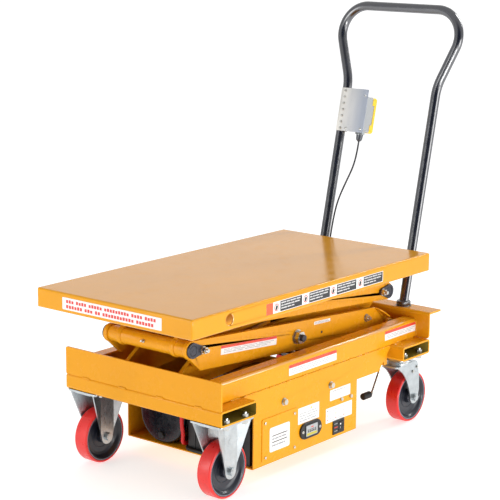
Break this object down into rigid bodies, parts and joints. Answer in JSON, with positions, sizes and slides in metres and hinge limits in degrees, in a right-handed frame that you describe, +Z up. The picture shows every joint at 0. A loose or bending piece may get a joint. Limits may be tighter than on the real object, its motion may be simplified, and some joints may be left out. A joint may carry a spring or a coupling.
{
  "type": "scissor lift table",
  "caption": "Mobile electric double scissor lift table with a flat deck, hydraulic cylinders, rear push handle, pendant control and casters.",
  "frame": {"origin": "on the floor, under the middle of the overall length and width of the lowered table", "axes": "+Z up, +X towards the push handle, +Y to the side of the handle leg that carries the pendant control"},
  "size_m": [1.2451, 0.527, 1.1627],
  "materials": {
    "yellow_paint": "gloss",
    "black_paint": "gloss",
    "zinc_steel": "satin",
    "bright_steel": "polished",
    "stainless_sheet": "brushed",
    "dark_pin_steel": "satin",
    "chrome_rod": "polished",
    "red_tread": "satin",
    "black_plastic": "matte",
    "grey_plastic": "matte",
    "yellow_plastic": "gloss",
    "white_plastic": "gloss",
    "nylon": "matte",
    "cord_rubber": "matte",
    "black_rubber": "matte"
  },
  "bodies": {
    "base": {"front_cross_tube": "yellow_paint", "rear_cross_tube": "yellow_paint", "side_rails": "yellow_paint", "front_plate": "yellow_paint", "rear_plate": "yellow_paint", "side_plates": "yellow_paint", "base_pivot_pins": "bright_steel", "front_forks": "zinc_steel", "front_axles": "bright_steel", "swivel_plates": "zinc_steel", "caster_bolts": "bright_steel", "power_tray": "yellow_paint", "tray_cover": "yellow_paint", "panel_fasteners": "bright_steel", "charge_gauge": "black_plastic", "switch_housing": "black_plastic", "battery": "black_plastic", "oil_reservoir": "black_plastic", "pump_motor": "black_paint", "handle_tube": "black_paint", "pendant_bracket": "stainless_sheet", "control_box": "grey_plastic", "control_cover": "yellow_plastic", "cable_gland": "black_plastic", "pendant_cord": "cord_rubber"},
    "lower_outer_arms": {"lower_outer_frame": "yellow_paint", "lower_outer_pins": "dark_pin_steel", "guide_blocks": "nylon", "cylinder_foot_shaft": "bright_steel"},
    "lower_inner_arms": {"lower_inner_frame": "yellow_paint", "cylinder_head_shaft": "bright_steel"},
    "upper_inner_arms": {"upper_inner_frame": "yellow_paint"},
    "upper_outer_arms": {"upper_outer_frame": "yellow_paint", "upper_outer_pins": "dark_pin_steel"},
    "deck": {"deck_pan": "yellow_paint", "deck_underframe": "yellow_paint", "deck_pivot_pins": "bright_steel"},
    "cylinders": {"cylinder_barrels": "black_paint"},
    "pistons": {"piston_rods": "chrome_rod"},
    "lower_roller_set": {"lower_roller_shaft": "bright_steel", "lower_rollers": "bright_steel"},
    "upper_roller_set": {"upper_roller_shaft": "bright_steel", "upper_rollers": "bright_steel"},
    "rocker": {"power_rocker": "black_plastic"},
    "up_button": {"button_up": "white_plastic"},
    "down_button": {"button_down": "black_plastic"},
    "lowering_pedal": {"lowering_lever": "bright_steel", "lever_rubber": "black_rubber"},
    "front_wheel_left": {"front_hub_left": "black_plastic", "front_tread_left": "red_tread"},
    "rear_swivel_left": {"rear_fork_left": "zinc_steel", "rear_axle_left": "bright_steel"},
    "rear_wheel_left": {"rear_hub_left": "black_plastic", "rear_tread_left": "red_tread"},
    "front_wheel_right": {"front_hub_right": "black_plastic", "front_tread_right": "red_tread"},
    "rear_swivel_right": {"rear_fork_right": "zinc_steel", "rear_axle_right": "bright_steel"},
    "rear_wheel_right": {"rear_hub_right": "black_plastic", "rear_tread_right": "red_tread"}
  },
  "joints": [
    {"name": "lift", "type": "hinge", "parent": "base", "child": "lower_outer_arms", "pos_m": [0.3594, 0, 0.2705], "axis": [0, 1, 0], "range_deg": [0, 43.4]},
    {"name": "lower_cross", "type": "hinge", "parent": "lower_outer_arms", "child": "lower_inner_arms", "pos_m": [-0.0631, 0, 0.31975], "axis": [0, 1, 0], "range_deg": [-86.9, 0]},
    {"name": "front_knee", "type": "hinge", "parent": "lower_outer_arms", "child": "upper_inner_arms", "pos_m": [-0.4856, 0, 0.369], "axis": [0, 1, 0], "range_deg": [-86.9, 0]},
    {"name": "upper_cross", "type": "hinge", "parent": "upper_inner_arms", "child": "upper_outer_arms", "pos_m": [-0.0631, 0, 0.41825], "axis": [0, 1, 0], "range_deg": [0, 86.9]},
    {"name": "deck_hinge", "type": "hinge", "parent": "upper_inner_arms", "child": "deck", "pos_m": [0.3594, 0, 0.4675], "axis": [0, 1, 0], "range_deg": [0, 43.5]},
    {"name": "cylinder_foot", "type": "hinge", "parent": "lower_outer_arms", "child": "cylinders", "pos_m": [0.10036, 0, 0.22289], "axis": [0, 1, 0], "range_deg": [-43.5, 0]},
    {"name": "cylinder_head", "type": "hinge", "parent": "lower_inner_arms", "child": "pistons", "pos_m": [0.07043, 0, 0.45492], "axis": [0, 1, 0], "range_deg": [0, 43.5]},
    {"name": "lower_roller_spin", "type": "hinge", "parent": "lower_inner_arms", "child": "lower_roller_set", "pos_m": [-0.4856, 0, 0.2705], "axis": [0, 1, 0], "continuous": true},
    {"name": "upper_roller_spin", "type": "hinge", "parent": "upper_outer_arms", "child": "upper_roller_set", "pos_m": [-0.4856, 0, 0.4675], "axis": [0, 1, 0], "continuous": true},
    {"name": "power_switch", "type": "hinge", "parent": "base", "child": "rocker", "pos_m": [0.0324, -0.215, 0.067], "axis": [1, 0, 0], "range_deg": [-8, 8]},
    {"name": "lowering_pedal_turn", "type": "hinge", "parent": "base", "child": "lowering_pedal", "pos_m": [0.2554, -0.1995, 0.196], "axis": [0, -1, 0], "range_deg": [0, 8], "stiffness_Nm_per_rad": 2, "springref_deg": -8.59},
    {"name": "raise_button", "type": "slide", "parent": "base", "child": "up_button", "axis": [-0.9744, 0, 0.225], "range_m": [0, 0.0025], "stiffness_N_per_m": 400, "springref_m": -0.002},
    {"name": "lower_button", "type": "slide", "parent": "base", "child": "down_button", "axis": [-0.9744, 0, 0.225], "range_m": [0, 0.0025], "stiffness_N_per_m": 400, "springref_m": -0.002},
    {"name": "front_wheel_left_spin", "type": "hinge", "parent": "base", "child": "front_wheel_left", "pos_m": [-0.4536, 0.2105, 0.0725], "axis": [0, 1, 0], "continuous": true},
    {"name": "rear_swivel_left_turn", "type": "hinge", "parent": "base", "child": "rear_swivel_left", "pos_m": [0.3274, 0.205, 0.19], "axis": [0, 0, 1], "continuous": true},
    {"name": "rear_wheel_left_spin", "type": "hinge", "parent": "rear_swivel_left", "child": "rear_wheel_left", "pos_m": [0.3674, 0.205, 0.0725], "axis": [0, 1, 0], "continuous": true},
    {"name": "front_wheel_right_spin", "type": "hinge", "parent": "base", "child": "front_wheel_right", "pos_m": [-0.4536, -0.2105, 0.0725], "axis": [0, 1, 0], "continuous": true},
    {"name": "rear_swivel_right_turn", "type": "hinge", "parent": "base", "child": "rear_swivel_right", "pos_m": [0.3274, -0.205, 0.19], "axis": [0, 0, 1], "continuous": true},
    {"name": "rear_wheel_right_spin", "type": "hinge", "parent": "rear_swivel_right", "child": "rear_wheel_right", "pos_m": [0.3674, -0.205, 0.0725], "axis": [0, 1, 0], "continuous": true}
  ],
  "couplings": [
    {"joint": "lower_cross", "follows": "lift", "ratio": -2},
    {"joint": "front_knee", "follows": "lift", "ratio": -2},
    {"joint": "upper_cross", "follows": "lift", "ratio": 2},
    {"joint": "deck_hinge", "follows": "lift", "ratio": 1},
    {"joint": "cylinder_foot", "follows": "lift", "ratio": -1},
    {"joint": "cylinder_head", "follows": "lift", "ratio": 1}
  ]
}
